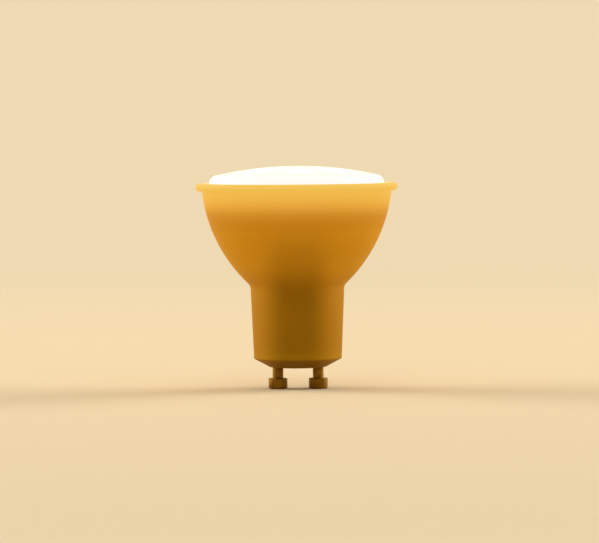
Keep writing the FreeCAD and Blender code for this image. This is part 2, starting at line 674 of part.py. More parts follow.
def make_chip(label, x, legs_per_side):
    """Surface package on the back of the driver board: a bevelled block with flat legs on two sides."""
    body = new_body(label, x=x, y="places.driver_back", z="places.chip_level")
    block = new_sketch(body, "block", "XZ_Plane")
    middle_box(block, f"sizes.{label}_width", f"sizes.{label}_length")
    package = extrude(body, block, "package", f"sizes.{label}_height", reverse=True)
    face = worth(f"places.driver_back + sizes.{label}_height")
    rim = [
        f"Edge{number}"
        for number, edge in enumerate(body.Shape.Edges, 1)
        if abs(edge.CenterOfMass.y - face) < SAME_PLACE
    ]
    bevel = body.newObject("PartDesign::Chamfer", "bevel")
    bevel.Base = (package, rim)
    bevel.setExpression("Size", "sizes.chip_bevel")
    legs = new_sketch(body, "leg_plan", "XZ_Plane")
    reach = f"sizes.{label}_width / 2 + sizes.chip_leg_reach"
    for number in range(legs_per_side):
        middle = f"{number - (legs_per_side - 1) / 2} * sizes.{label}_leg_pitch"
        low, high = (f"{middle} {sign} sizes.chip_leg_width / 2" for sign in "-+")
        box_outline(legs, f"-({reach})", reach, low, high)
    extrude(body, legs, "legs", "sizes.chip_leg_thickness", reverse=True)


def make_chip_resistors():
    """Flat chip resistors in a column on the back of the driver board's upper half."""
    for number in range(CHIP_RESISTOR_COUNT):
        chip = doc.addObject("Part::Box", f"chip_resistor_{number + 1}")
        chip.setExpression("Length", "sizes.resistor_length")
        chip.setExpression("Width", "sizes.resistor_height")
        chip.setExpression("Height", "sizes.resistor_width")
        level = f"places.crown_foot + {number} * sizes.resistor_step"
        place(chip, x="-sizes.resistor_length / 2", y="places.driver_back", z=level)


def make_leads():
    """Straight leads on the driver board's front: up from the pins' tubes, and up to the LED board."""
    board_foot = "places.driver_foot + sizes.wire_overlap"
    board_top = "places.driver_top - sizes.wire_overlap"
    spans = (
        ("mains", "sizes.pin_pitch", "places.pin_bore_floor", board_foot),
        ("led", "sizes.led_wire_pitch", board_top, "places.led_face + sizes.wire_end"),
    )
    for name, pitch, foot, top in spans:
        for side, sign in BOTH_SIDES:
            lead = doc.addObject("Part::Cylinder", f"{name}_lead_{side}")
            lead.setExpression("Radius", "sizes.wire_diameter / 2")
            lead.setExpression("Height", f"{top} - ({foot})")
            place(lead, x=f"{sign}{pitch} / 2", z=foot)


def write_parts():
    """Check every object, then write each sub-part to its own file."""
    doc.recompute()
    failed = [item.Name for item in doc.Objects if {"Invalid", "Error"} & set(item.State)]
    kinds = ("PartDesign::Body", "Part::Box", "Part::Cylinder")
    parts = [item for item in doc.Objects if item.TypeId in kinds]
    failed += [part.Label for part in parts if part.Shape.isNull() or not part.Shape.isValid()]
    if failed:
        raise RuntimeError(f"not built: {failed}")
    os.makedirs("parts", exist_ok=True)
    for part in parts:
        part.Shape.exportStep(f"parts/{part.Label}.step")
        print(f"{part.Label}: {len(part.Shape.Solids)} solid, {part.Shape.Volume:.1f} cubic mm")


make_contact_pins()
make_housing()
make_diffuser()
make_heat_sink_dish()
make_led_board()
make_leds()
make_board_screws()
make_driver_board()
make_smoothing_capacitor()
make_choke()
make_box_component("film", "film_capacitor")
make_box_component("fuse", "fuse")
make_chip("rectifier", "-sizes.chip_spread", 2)
make_chip("driver_chip", "sizes.chip_spread", 4)
make_chip_resistors()
make_leads()
write_parts()
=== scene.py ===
import math
from types import SimpleNamespace

import bpy
import numpy as np
from mathutils import Matrix, Vector


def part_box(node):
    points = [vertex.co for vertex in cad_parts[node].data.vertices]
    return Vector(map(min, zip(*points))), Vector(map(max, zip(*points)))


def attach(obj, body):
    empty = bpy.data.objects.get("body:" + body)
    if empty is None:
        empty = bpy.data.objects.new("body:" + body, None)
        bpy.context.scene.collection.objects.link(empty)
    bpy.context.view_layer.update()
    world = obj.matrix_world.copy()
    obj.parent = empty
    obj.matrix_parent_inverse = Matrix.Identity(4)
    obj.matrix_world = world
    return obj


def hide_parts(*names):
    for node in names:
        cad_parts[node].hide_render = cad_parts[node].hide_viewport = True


bl_info = {
    "name": "Spotlight lamp",
    "version": (1, 0, 0),
    "blender": (4, 5, 0),
    "location": "View3D > Sidebar > Lamp",
    "description": "Dresses the solids of a spotlight lamp and sets it on a plain stage",
    "category": "Object",
}

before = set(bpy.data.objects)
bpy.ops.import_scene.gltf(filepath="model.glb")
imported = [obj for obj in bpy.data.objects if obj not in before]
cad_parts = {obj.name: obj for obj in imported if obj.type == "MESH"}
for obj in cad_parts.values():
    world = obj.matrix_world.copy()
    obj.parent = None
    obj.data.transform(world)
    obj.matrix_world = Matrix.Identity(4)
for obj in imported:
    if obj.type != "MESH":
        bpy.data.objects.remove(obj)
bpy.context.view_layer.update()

MM = 0.001
RING_STEPS = 224
PIN_RING_STEPS = 96
THREAD_STEPS = 8
CUP_STEPS = 28
ROUND_STEPS = 8
SHARP_ANGLE = math.radians(40)
SENSOR_WIDTH = 36.0
BEND_STEPS = 24
SIDES = ("left", "right")
NO_LIGHT = (0.0, 0.0, 0.0)
LED_NODES = sorted(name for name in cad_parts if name.startswith("led_") and name[-1].isdigit())
LED_COUNT = len(LED_NODES)
RESISTOR_NODES = [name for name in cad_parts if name.startswith("chip_resistor_")]

# Half the angle that the end of a recess's bar spans, the size of the recess's floor beside its mouth,
# and the turn at which each screw came to rest.
BAR_END = math.radians(15)
RECESS_TAPER = 0.55
SCREW_TURNS = (math.radians(20), math.radians(62))

# Places of the sockets that a colour Mix node uses.
MIX_FACTOR, MIX_FIRST, MIX_SECOND, MIX_RESULT = 0, 6, 7, 2


def length(name, description, millimetres):
    """A length that a user may change, given in millimetres and kept in metres."""
    return bpy.props.FloatProperty(
        name=name, description=description, default=millimetres * MM, min=0.0, precision=5, unit="LENGTH"
    )


def colour(name, description, red, green, blue):
    """A colour that a user may change, in linear light."""
    return bpy.props.FloatVectorProperty(
        name=name, description=description, default=(red, green, blue), min=0.0, max=1.0, subtype="COLOR"
    )


def number(name, description, value, **limits):
    """A plain number that a user may change."""
    return bpy.props.FloatProperty(name=name, description=description, default=value, **limits)


class LampShape(bpy.types.PropertyGroup):
    """Sizes of the pieces that are drawn again with their rounded edges."""

    base_flat: length("Base flat", "Diameter of the flat end of the base", 14.0)
    base_chamfer: length("Base chamfer", "Height of the cone between the flat end and the neck", 2.1)
    base_round: length("Base round", "Radius at both edges of that cone", 0.35)
    floor: length("Floor", "Thickness of the base's floor", 2.0)
    neck_foot: length("Neck foot", "Diameter of the neck at its foot", 21.8)
    neck_top: length("Neck top", "Diameter of the neck where the cup begins", 23.3)
    neck_length: length("Neck length", "From the neck's foot to the cup", 18.15)
    neck_round: length("Neck round", "Radius in the corner between neck and cup", 2.0)
    cup_arc: length("Cup arc", "Radius of the cup's side seen in section", 37.2)
    wall: length("Wall", "Wall of the neck and the cup", 1.8)
    rim_overhang: length("Rim overhang", "How far the rim stands out from the cup", 1.5)
    rim_thickness: length("Rim thickness", "From the rim's underside to its top", 1.9)
    rim_round: length("Rim round", "Radius at the rim's two outer edges", 0.77)
    mouth_round: length("Mouth round", "Radius at the rim's inner edge and under the rim", 0.2)
    mouth_gap: length("Mouth gap", "Between the diffuser's skirt and the housing's mouth", 0.15)
    seat_depth: length("Seat depth", "From the rim's top to the ledge in the mouth", 4.8)
    seat_width: length("Seat width", "Width of that ledge", 0.55)
    dome_round: length("Dome round", "Radius of the diffuser's shoulder", 2.0)
    dome_wall: length("Dome wall", "Thickness of the diffuser", 1.2)
    boss_width: length("Boss width", "Diameter of the boss around each pin", 5.8)
    boss_height: length("Boss height", "Height of a boss above the floor", 2.0)
    rail_wall: length("Rail wall", "Wall on each side of the driver board's slot", 1.0)
    rail_grip: length("Rail grip", "How far a rail reaches over the board's edge", 1.2)
    rail_length: length("Rail length", "Length of the slot along the board", 10.0)
    rail_stop: length("Rail stop", "Closed end of the slot under the board", 1.5)
    rail_play: length("Rail play", "Room for the board in its slot, on each side", 0.15)
    pin_head: length("Pin head", "Length of a pin's head", 2.6)
    pin_head_round: length("Pin head round", "Radius at the head's free edge", 0.4)
    pin_shoulder_round: length("Pin shoulder round", "Radius at the head's upper edge", 0.12)
    pin_neck: length("Pin neck", "Diameter of a pin's neck", 2.65)
    pin_shank: length("Pin shank", "Diameter of the pin inside the base", 3.4)
    pin_clinch: length("Pin clinch", "Diameter of the collar on the boss", 4.4)
    pin_clinch_height: length("Pin clinch height", "Thickness of that collar", 0.5)
    pin_tube: length("Pin tube", "Diameter of the tube for the lead", 2.2)
    pin_bore: length("Pin bore", "Diameter of the tube's bore", 1.1)
    pin_bore_depth: length("Pin bore depth", "Depth of the bore from the tube's mouth", 3.0)
    screw_shank: length("Screw shank", "Diameter of a board screw over its thread", 2.0)
    screw_pitch: length("Screw pitch", "From one turn of the thread to the next", 0.4)
    screw_thread: length("Screw thread", "Depth of the thread", 0.2)
    screw_head: length("Screw head", "Height of a screw's head", 1.3)
    screw_round: length("Screw round", "Radius at the head's upper edge", 0.7)
    screw_recess: length("Screw recess", "Length of the two bars of the cross recess", 2.1)
    screw_recess_depth: length("Screw recess depth", "Depth of that recess", 0.75)
    choke_stem: length("Choke stem", "Diameter of the choke's core inside its winding", 3.2)
    choke_wire: length("Choke wire", "Diameter of the winding's wire", 0.44)


class LampColours(bpy.types.PropertyGroup):
    """Colours of the finishes, in linear light."""

    # Base to rim: painted light and shade along the housing's height, not the plastic's own colour: darker
    # on the
    # base's chamfer, lighter at the neck's foot, brightest low in the cup, held low at the shoulder and rim.
    base: colour("Base", "Housing at the chamfered end", 0.20, 0.093, 0.002)
    neck_foot: colour("Neck foot", "Housing at the foot of the neck", 0.385, 0.190, 0.002)
    neck: colour("Neck", "Housing along the neck", 0.355, 0.165, 0.002)
    cup: colour("Cup", "Housing in the lower half of the cup", 0.44, 0.210, 0.004)
    shoulder: colour("Shoulder", "Housing in the upper half of the cup", 0.17, 0.080, 0.003)
    rim: colour("Rim", "Housing at the rim", 0.04, 0.022, 0.002)
    glow_neck: colour("Neck glow", "Light through the neck's foot, beside the driver", 0.09, 0.032, 0.002)
    glow_beside: colour("Beside glow", "Light through the neck's top, beside the driver", 0.20, 0.071, 0.003)
    glow_foot: colour("Foot glow", "Light through the housing low in the cup", 0.075, 0.022, 0.001)
    glow_low: colour("Low glow", "Light through the housing in the middle of the cup", 0.19, 0.065, 0.003)
    glow_mid: colour("Middle glow", "Light through the housing higher up the cup", 0.51, 0.180, 0.009)
    glow_high: colour("High glow", "Light through the housing below the rim", 0.91, 0.52, 0.08)
    glow_rim: colour("Rim glow", "Light through the rim's underside", 0.80, 0.43, 0.05)
    glow_lip: colour("Lip glow", "Light through the rim's top", 0.92, 0.59, 0.125)
    glow_edge: colour("Edge glow", "Light on the rim beside the diffuser", 0.96, 0.76, 0.34)
    lens_middle: colour("Lens middle", "Light of the diffuser above the LEDs", 1.0, 0.99, 0.96)
    lens_between: colour("Lens between", "Light of the diffuser between the LEDs", 1.0, 0.93, 0.74)
    lens_edge: colour("Lens edge", "Light of the diffuser at its edge", 1.0, 0.98, 0.93)
    milk: colour("Milk", "The diffuser's own plastic", 0.06, 0.058, 0.054)
    # Pins: a darker, browner tone than their brass, painted shade for the dim amber surroundings they
    # reflect.
    shaded_bronze: colour("Bronze", "Contact pins", 0.285, 0.135, 0.010)
    bronze_stain: colour("Bronze stain", "Darker patches of the pins", 0.19, 0.080, 0.006)
    aluminium: colour("Aluminium", "Heat sink dish", 0.56, 0.56, 0.58)
    board_mask: colour("Board mask", "White mask of the LED board", 0.84, 0.83, 0.80)
    phosphor: colour("Phosphor", "Windows of the LEDs", 0.92, 0.66, 0.08)
    package: colour("Package", "Frames of the LEDs", 0.86, 0.85, 0.80)
    steel: colour("Steel", "Plated screws", 0.42, 0.42, 0.44)
    tin: colour("Tin", "Legs and soldered ends", 0.62, 0.61, 0.58)
    circuit: colour("Circuit", "Green mask of the driver board", 0.018, 0.115, 0.045)
    trace: colour("Trace", "Copper under that mask", 0.05, 0.22, 0.075)
    sleeve: colour("Sleeve", "Sleeve of the smoothing capacitor", 0.010, 0.011, 0.016)
    stripe: colour("Stripe", "Stripe along that sleeve", 0.42, 0.43, 0.44)
    ferrite: colour("Ferrite", "Core of the choke", 0.034, 0.032, 0.031)
    copper: colour("Copper", "Winding of the choke", 0.46, 0.135, 0.045)
    film: colour("Film", "Film capacitor", 0.60, 0.33, 0.02)
    fuse: colour("Fuse", "Fuse", 0.024, 0.022, 0.021)
    chip: colour("Chip", "Packages on the board's back", 0.009, 0.009, 0.010)
    lead: colour("Lead", "Insulation of the leads", 0.68, 0.65, 0.56)


class LampStage(bpy.types.PropertyGroup):
    """Floor, light and camera."""

    paper: colour("Paper", "Floor and backdrop", 0.86, 0.70, 0.45)
    floor_reach: length("Floor reach", "From the lamp back to where the floor bends up", 1200.0)
    floor_bend: length("Floor bend", "Radius of that bend", 500.0)
    wall_height: length("Wall height", "Height of the backdrop's wall", 2000.0)
    even_start: length("Even start", "From the lamp to where the paper begins to look evenly bright", 50.0)
    even_end: length("Even end", "From the lamp to where all of it looks evenly bright", 800.0)
    sky: colour("Sky", "Even light from all around", 0.62, 0.58, 0.52)
    sky_level: number("Sky level", "Strength of the even light", 0.76, min=0.0)
    side_power: number("Side power", "Each softbox beside the lamp", 15.5, min=0.0, unit="POWER")
    side_reach: length("Side reach", "How far these softboxes stand to each side", 1300.0)
    side_back: length("Side back", "How far they stand behind the lamp", 450.0)
    side_height: length("Side height", "Height of their middle", 600.0)
    side_size: length("Side size", "Length of their edges", 1000.0)
    top_power: number("Top power", "The softbox above the lamp", 3.0, min=0.0, unit="POWER")
    top_front: length("Top front", "How far that softbox hangs in front of the lamp", 400.0)
    top_height: length("Top height", "Height of its middle", 1600.0)
    top_size: length("Top size", "Length of its edges", 1200.0)
    lens_level: number("Lens level", "Brightness of the lit diffuser", 0.94, min=0.0)
    view_distance: length("View distance", "From the camera to the lamp's axis", 900.0)
    view_lift: length("View lift", "Height of the camera above the rim", 16.0)
    view_width: length("View width", "Width of the picture at the lamp", 148.6)
    aim_height: length("Aim height", "Height at the picture's centre", 29.1)
    aim_side: length("Aim side", "The picture's centre to the right of the lamp's axis", 0.55)
    roll: number("Roll", "Turn of the camera about its view", math.radians(-0.45), subtype="ANGLE")


SETTINGS = (("lamp_shape", LampShape), ("lamp_colours", LampColours), ("lamp_stage", LampStage))


class Wire:
    """One value in a material's nodes. Arithmetic on it adds Math nodes."""

    def __init__(self, finish, socket):
        self.finish = finish
        self.socket = socket

    def __add__(self, other):
        return self.finish.maths("ADD", self, other)

    def __radd__(self, other):
        return self.finish.maths("ADD", other, self)

    def __sub__(self, other):
        return self.finish.maths("SUBTRACT", self, other)

    def __rsub__(self, other):
        return self.finish.maths("SUBTRACT", other, self)

    def __mul__(self, other):
        return self.finish.maths("MULTIPLY", self, other)

    def __rmul__(self, other):
        return self.finish.maths("MULTIPLY", other, self)

    def __abs__(self):
        return self.finish.maths("ABSOLUTE", self)


class Finish:
    """A material made of nodes around one Principled shader."""

    def __init__(self, name, **constants):
        self.material = bpy.data.materials.new(name)
        self.material.use_nodes = True
        self.tree = self.material.node_tree
        self.shader = self.tree.nodes["Principled BSDF"]
        self.surface = Wire(self, self.shader.outputs["BSDF"])
        self.output = self.tree.nodes["Material Output"]
        self.spot = self.node("ShaderNodeTexCoord", output="Object")
        self.wear(**constants)

    def feed(self, socket, value):
        """Link a wire to a socket, or set the socket's own value."""
        if isinstance(value, Wire):
            self.tree.links.new(value.socket, socket)
        elif socket.type == "RGBA":
            socket.default_value = (*value[:3], 1.0)
        else:
            socket.default_value = value

    def node(self, kind, settings=None, sockets=None, output=0):
        """Add a node, make its settings, then fill its sockets. Gives one of its outputs."""
        made = self.tree.nodes.new(kind)
        for name, setting in (settings or {}).items():
            if name == "stops":
                self.set_stops(made.color_ramp, *setting)
            else:
                setattr(made, name, setting)
        for key, value in (sockets or {}).items():
            self.feed(made.inputs[key], value)
        return Wire(self, made.outputs[output])

    @staticmethod
    def set_stops(ramp, run, stops):
        """Give a colour ramp its stops, each a place from 0 to 1 and a colour, and its way between them."""
        ramp.interpolation = run
        while len(ramp.elements) < len(stops):
            ramp.elements.new(1.0)
        for element, (place, shade) in zip(ramp.elements, stops):
            element.position = place
            element.color = (*shade[:3], 1.0)

    def maths(self, operation, *terms):
        """A number worked out from others."""
        return self.node("ShaderNodeMath", {"operation": operation}, dict(enumerate(terms)))

    def waves(self, value, pitch, shift=0.0):
        """Waves from -1 to 1 along a value, of a given length in metres. A shift in radians bends them."""
        return self.maths("SINE", value * (2 * math.pi / pitch) + shift)

    def axes(self, vector=None):
        """The three coordinates of a point, in metres, or the three parts of another vector."""
        split = self.node("ShaderNodeSeparateXYZ", None, {0: vector or self.spot})
        return [Wire(self, output) for output in split.socket.node.outputs]

    def radius(self):
        """Distance from the lamp's axis."""
        x, y, _ = self.axes()
        return self.maths("SQRT", x * x + y * y)

    def between(self, value, low, high):
        """0 below low, 1 above high and a smooth rise between them."""
        sockets = {"Value": value, "From Min": low, "From Max": high}
        return self.node("ShaderNodeMapRange", {"interpolation_type": "SMOOTHSTEP"}, sockets)

    def ramp(self, value, low, high, stops, run="LINEAR"):
        """Colour by a value; each stop is a value and a colour."""
        share = self.node("ShaderNodeMapRange", None, {"Value": value, "From Min": low, "From Max": high})
        places = [((at - low) / (high - low), shade) for at, shade in stops]
        return self.node("ShaderNodeValToRGB", {"stops": (run, places)}, {"Fac": share})

    def noise(self, grain, detail=3.0, stretch=(1.0, 1.0, 1.0)):
        """Cloudy values about one half, with clouds of about a given size in metres."""
        spot = self.node("ShaderNodeMapping", None, {"Vector": self.spot, "Scale": stretch})
        return self.node("ShaderNodeTexNoise", None, {"Vector": spot, "Scale": 1 / grain, "Detail": detail})

    def mix(self, factor, first, second, way="MIX"):
        """Blend two colours."""
        sockets = {MIX_FACTOR: factor, MIX_FIRST: first, MIX_SECOND: second}
        return self.node("ShaderNodeMix", {"data_type": "RGBA", "blend_type": way}, sockets, MIX_RESULT)

    def shaded(self, base, cloud, depth):
        """A colour made darker where a cloudy value is low."""
        grey = self.node("ShaderNodeCombineColor", None, dict(enumerate([1 - depth + depth * cloud] * 3)))
        return self.mix(1.0, base, grey, "MULTIPLY")

    def relief(self, height, depth, strength=1.0):
        """Bump from a value, with a depth in metres."""
        sockets = {"Height": height, "Distance": depth, "Strength": strength}
        self.wear(Normal=self.node("ShaderNodeBump", None, sockets))

    def wear(self, **sockets):
        """Feed or set the shader's own sockets."""
        for socket, value in sockets.items():
            self.feed(self.shader.inputs[socket.replace("_", " ")], value)


def settings(name):
    """One of the scene's groups of sizes or colours."""
    return getattr(bpy.context.scene, name)


def middle_and_reach(node):
    """Centre of a solid's box, and half of its size."""
    low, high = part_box(node)
    return (low + high) / 2, (high - low) / 2


def led_ring():
    """Radius of the circle that the LEDs stand on."""
    middle, _ = middle_and_reach(LED_NODES[0])
    return middle.xy.length


def partway(low, high, share):
    """A place on the way from one level to another."""
    return low + share * (high - low)


def levels(shape):
    """Heights and radii of the lamp, from the solids' boxes and the shape's sizes."""
    base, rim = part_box("housing")
    dish_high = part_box("heat_sink_dish")[1]
    at = SimpleNamespace(base_face=base.z, rim_top=rim.z, rim_radius=rim.x, lens_radius=dish_high.x)
    at.floor_top = at.base_face + shape.floor
    at.boss_top = at.floor_top + shape.boss_height
    at.neck_foot = at.base_face + shape.base_chamfer
    at.neck_top = at.neck_foot + shape.neck_length
    at.rim_under = at.rim_top - shape.rim_thickness
    at.mouth_radius = at.rim_radius - shape.rim_overhang
    at.bore_radius = at.lens_radius + shape.mouth_gap
    at.seat = at.rim_top - shape.seat_depth
    at.seat_radius = at.bore_radius - shape.seat_width
    at.dish_top = dish_high.z
    at.dome_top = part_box("diffuser")[1].z
    return at


def arc_points(start, end, radius, steps):
    """Points of the shorter arc of a radius from start to end, with its centre to the left of the way.

    The centre lies off the chord's middle by the root of radius squared less half the chord squared,
    and the points turn about it by even angles."""
    start, end = np.array(start), np.array(end)
    chord = end - start
    half = np.linalg.norm(chord) / 2
    left = np.array([-chord[1], chord[0]]) / (2 * half)
    centre = (start + end) / 2 + left * math.sqrt(radius**2 - half**2)
    first, last = (math.atan2(*(point - centre)[::-1]) for point in (start, end))
    turn = np.linspace(first, last, steps + 1)
    return centre + radius * np.column_stack([np.cos(turn), np.sin(turn)])


def rounded(corners):
    """An outline whose corners, each (radius, height, round), are cut by arcs of their own round.

    An arc leaves the two sides at round over tan(half the corner's angle) from the corner, and its
    points turn evenly from one side's direction to the other's."""
    points = np.array([corner[:2] for corner in corners])
    outline = []
    for index, (_, _, turn_radius) in enumerate(corners):
        here = points[index]
        if not turn_radius:
            outline.append(here[None])
            continue
        back, onward = (points[index - 1] - here, points[(index + 1) % len(points)] - here)
        back, onward = back / np.linalg.norm(back), onward / np.linalg.norm(onward)
        half = math.acos(np.clip(back @ onward, -1.0, 1.0)) / 2
        start = here + back * turn_radius / math.tan(half)
        bisector = (back + onward) / np.linalg.norm(back + onward)
        centre = here + bisector * turn_radius / math.sin(half)
        sense = np.sign(onward[0] * back[1] - onward[1] * back[0])
        turn = sense * np.linspace(0.0, math.pi - 2 * half, ROUND_STEPS + 1)
        arm = start - centre
        across = np.array([-arm[1], arm[0]])
        outline.append(centre + np.outer(np.cos(turn), arm) + np.outer(np.sin(turn), across))
    return np.concatenate(outline)


def lathe(outline, middle_x=0.0, steps=RING_STEPS):
    """An outline carried round an upright axis at middle_x.

    Ring i has the outline's radius i all round, at the outline's height i. Ends of the outline on the
    axis become single points; an outline that stays off it closes on itself."""
    poled = outline[0, 0] == 0.0
    rings = outline[1:-1] if poled else outline
    radius = np.repeat(rings[:, :1], steps, axis=1)
    return ringed((middle_x, 0.0), radius, rings[:, 1], outline[[0, -1], 1] if poled else None)


def ringed(middle, radius, height, poles=None, turn=0.0):
    """Rings about an upright axis: point (i, j) lies at radius (i, j) towards angle j, at height i.

    Two poles, given by their heights on the axis, close the end rings; without them the end rings join.
    Gives the points and one array of faces for each number of corners."""
    rows, steps = radius.shape
    angle = np.linspace(0.0, 2 * math.pi, steps, endpoint=False) + turn
    x = middle[0] + radius * np.cos(angle)
    y = middle[1] + radius * np.sin(angle)
    z = np.repeat(height[:, None], steps, axis=1)
    points = np.stack([x, y, z], axis=-1).reshape(-1, 3)
    here = np.arange(len(points)).reshape(rows, steps)
    beside = np.roll(here, -1, axis=1)
    above, above_beside = np.roll(here, -1, axis=0), np.roll(beside, -1, axis=0)
    cells = np.stack([here, beside, above_beside, above], axis=-1)
    if poles is None:
        return points, [cells.reshape(-1, 4)]
    poles = np.array([[*middle, level] for level in poles])
    first = np.full(steps, len(points))
    caps = [np.column_stack([first, beside[0], here[0]]), np.column_stack([here[-1], beside[-1], first + 1])]
    return np.concatenate([points, poles]), [cells[:-1].reshape(-1, 4), np.concatenate(caps)]


def trough(left, right, outline):
    """A section in Y and Z carried along X: point (i, j) takes its x from end i and the rest from corner j.

    The section is a U of eight corners, so each end is closed by three faces, its floor and two walls."""
    here = np.arange(len(outline))
    onward, far = np.roll(here, -1), len(outline)
    points = np.column_stack([np.repeat([left, right], far), np.tile(outline, (2, 1))])
    sides = np.column_stack([here, onward, onward + far, here + far])
    end = np.array([[0, 1, 4, 5], [1, 2, 3, 4], [0, 5, 6, 7]])
    return points, [sides, end + far, end[:, ::-1]]


def laid_along_y(surface, height):
    """A surface made about the upright axis, turned so that its axis runs along Y at a height."""
    points, face_arrays = surface
    x, y, z = points.T
    return np.column_stack([x, z, height - y]), face_arrays


def new_piece(name, surfaces, finish, slot, *nodes):
    """One object from several surfaces, in the place of the solids that it stands for."""
    points, faces, count = [], [], 0
    for some_points, face_arrays in surfaces:
        points.append(some_points)
        for face_array in face_arrays:
            faces += (face_array + count).tolist()
        count += len(some_points)
    mesh = bpy.data.meshes.new(name)
    mesh.from_pydata(np.concatenate(points).tolist(), [], faces)
    mesh.shade_smooth()
    mesh.set_sharp_from_angle(angle=SHARP_ANGLE)
    mesh.materials.append(finish.material)
    piece = bpy.data.objects.new(name, mesh)
    bpy.context.scene.collection.objects.link(piece)
    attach(piece, "root")
    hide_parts(*nodes)


def dress(finish, *nodes):
    """Give solids a finish."""
    for node in nodes:
        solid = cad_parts[node]
        if not solid.material_slots:
            solid.data.materials.append(None)
        for place in solid.material_slots:
            place.material = finish.material


def housing_outline(shape, at):
    """Section of the housing: base, neck, cup and rim outside, then back down the hollow inside."""
    neck_foot, neck_top = shape.neck_foot / 2, shape.neck_top / 2
    cup = arc_points((neck_top, at.neck_top), (at.mouth_radius, at.rim_under), shape.cup_arc, CUP_STEPS)
    corner_rounds = np.zeros(len(cup))
    corner_rounds[0] = shape.neck_round
    corner_rounds[-1] = shape.mouth_round
    inner_foot = at.floor_top + (neck_foot - shape.wall - shape.base_flat / 2) * (
        shape.base_chamfer / (neck_foot - shape.base_flat / 2)
    )
    inner_cup = arc_points(
        (neck_top - shape.wall, at.neck_top + shape.wall / 2),
        (at.seat_radius, at.seat),
        shape.cup_arc - shape.wall,
        CUP_STEPS,
    )
    corners = [
        (0.0, at.base_face, 0),
        (shape.base_flat / 2, at.base_face, shape.base_round),
        (neck_foot, at.neck_foot, shape.base_round),
        *np.column_stack([cup, corner_rounds]).tolist(),
        (at.rim_radius, at.rim_under, shape.rim_round),
        (at.rim_radius, at.rim_top, shape.rim_round),
        (at.bore_radius, at.rim_top, shape.mouth_round),
        (at.bore_radius, at.seat, 0),
        *[(*point, 0) for point in inner_cup[::-1].tolist()],
        (neck_foot - shape.wall, inner_foot, 0),
        (shape.base_flat / 2, at.floor_top, 0),
        (0.0, at.floor_top, 0),
    ]
    return rounded(corners)


def pin_bosses(shape, at):
    """Round bosses on the base's floor, each a ring about its pin."""
    foot = at.base_face + shape.floor / 2
    inner, outer = shape.pin_shank / 2, shape.boss_width / 2
    ring = np.array([(inner, foot), (outer, foot), (outer, at.boss_top), (inner, at.boss_top)])
    for side in SIDES:
        middle, _ = middle_and_reach(f"contact_pin_{side}")
        yield lathe(ring, middle.x, PIN_RING_STEPS)


def board_rails(shape):
    """A trough on each side of the neck around the driver board's edge, closed under the board."""
    low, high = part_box("driver_board")
    tip, root = high.x - shape.rail_grip, high.x + shape.rail_grip / 2
    slot_front, slot_back = low.y - shape.rail_play, high.y + shape.rail_play
    front, back = slot_front - shape.rail_wall, slot_back + shape.rail_wall
    foot, top = low.z - shape.rail_stop, low.z + shape.rail_length
    outline = np.array([
        (front, foot),
        (back, foot),
        (back, top),
        (slot_back, top),
        (slot_back, low.z),
        (slot_front, low.z),
        (slot_front, top),
        (front, top),
    ])
    for sign in (-1, 1):
        yield trough(*sorted((sign * tip, sign * root)), outline)


def pin_outline(shape, at, head_radius, top):
    """Section of a contact pin: head, neck, shank, collar, tube and the bore down the tube."""
    neck, shank = shape.pin_neck / 2, shape.pin_shank / 2
    collar, tube, bore = shape.pin_clinch / 2, shape.pin_tube / 2, shape.pin_bore / 2
    collar_top = at.boss_top + shape.pin_clinch_height
    edge = shape.pin_shoulder_round
    corners = [
        (0.0, 0.0, 0),
        (head_radius, 0.0, shape.pin_head_round),
        (head_radius, shape.pin_head, edge),
        (neck, shape.pin_head, edge),
        (neck, at.base_face, 0),
        (shank, at.base_face, 0),
        (shank, at.boss_top, 0),
        (collar, at.boss_top, 0),
        (collar, collar_top, edge),
        (tube, collar_top, edge),
        (tube, top, edge),
        (bore, top, 0),
        (bore, top - shape.pin_bore_depth, 0),
        (0.0, top - shape.pin_bore_depth, 0),
    ]
    return rounded(corners)


def dome_points(foot_radius, foot, top, shoulder):
    """Section of a shallow dome from its foot to the axis: a shoulder that starts upright, then a crown.

    The crown is an arc about the axis that meets the shoulder's arc without a corner, so the distance
    between the two arcs' centres is the difference of their radii."""
    reach, rise = foot_radius - shoulder, top - foot
    crown = (reach**2 + rise**2 - shoulder**2) / (2 * (rise - shoulder))
    lean = math.atan2(reach, crown - rise)
    turn = np.linspace(0.0, math.pi / 2 - lean, 2 * ROUND_STEPS)
    edge = np.column_stack([reach + shoulder * np.cos(turn), foot + shoulder * np.sin(turn)])
    slope = np.linspace(lean, 0.0, CUP_STEPS)[1:]
    cap = np.column_stack([crown * np.sin(slope), top - crown + crown * np.cos(slope)])
    cap[-1, 0] = 0.0
    return np.concatenate([edge, cap])


def diffuser_outline(shape, at):
    """Section of the diffuser: the dome outside, the skirt down to the dish, and the hollow inside."""
    wall = shape.dome_wall
    outer = dome_points(at.lens_radius, at.rim_top, at.dome_top, shape.dome_round)
    inner = dome_points(at.lens_radius - wall, at.rim_top, at.dome_top - wall, shape.dome_round - wall)
    skirt = np.array([(at.lens_radius - wall, at.dish_top), (at.lens_radius, at.dish_top)])
    return np.concatenate([inner[::-1], skirt, outer])


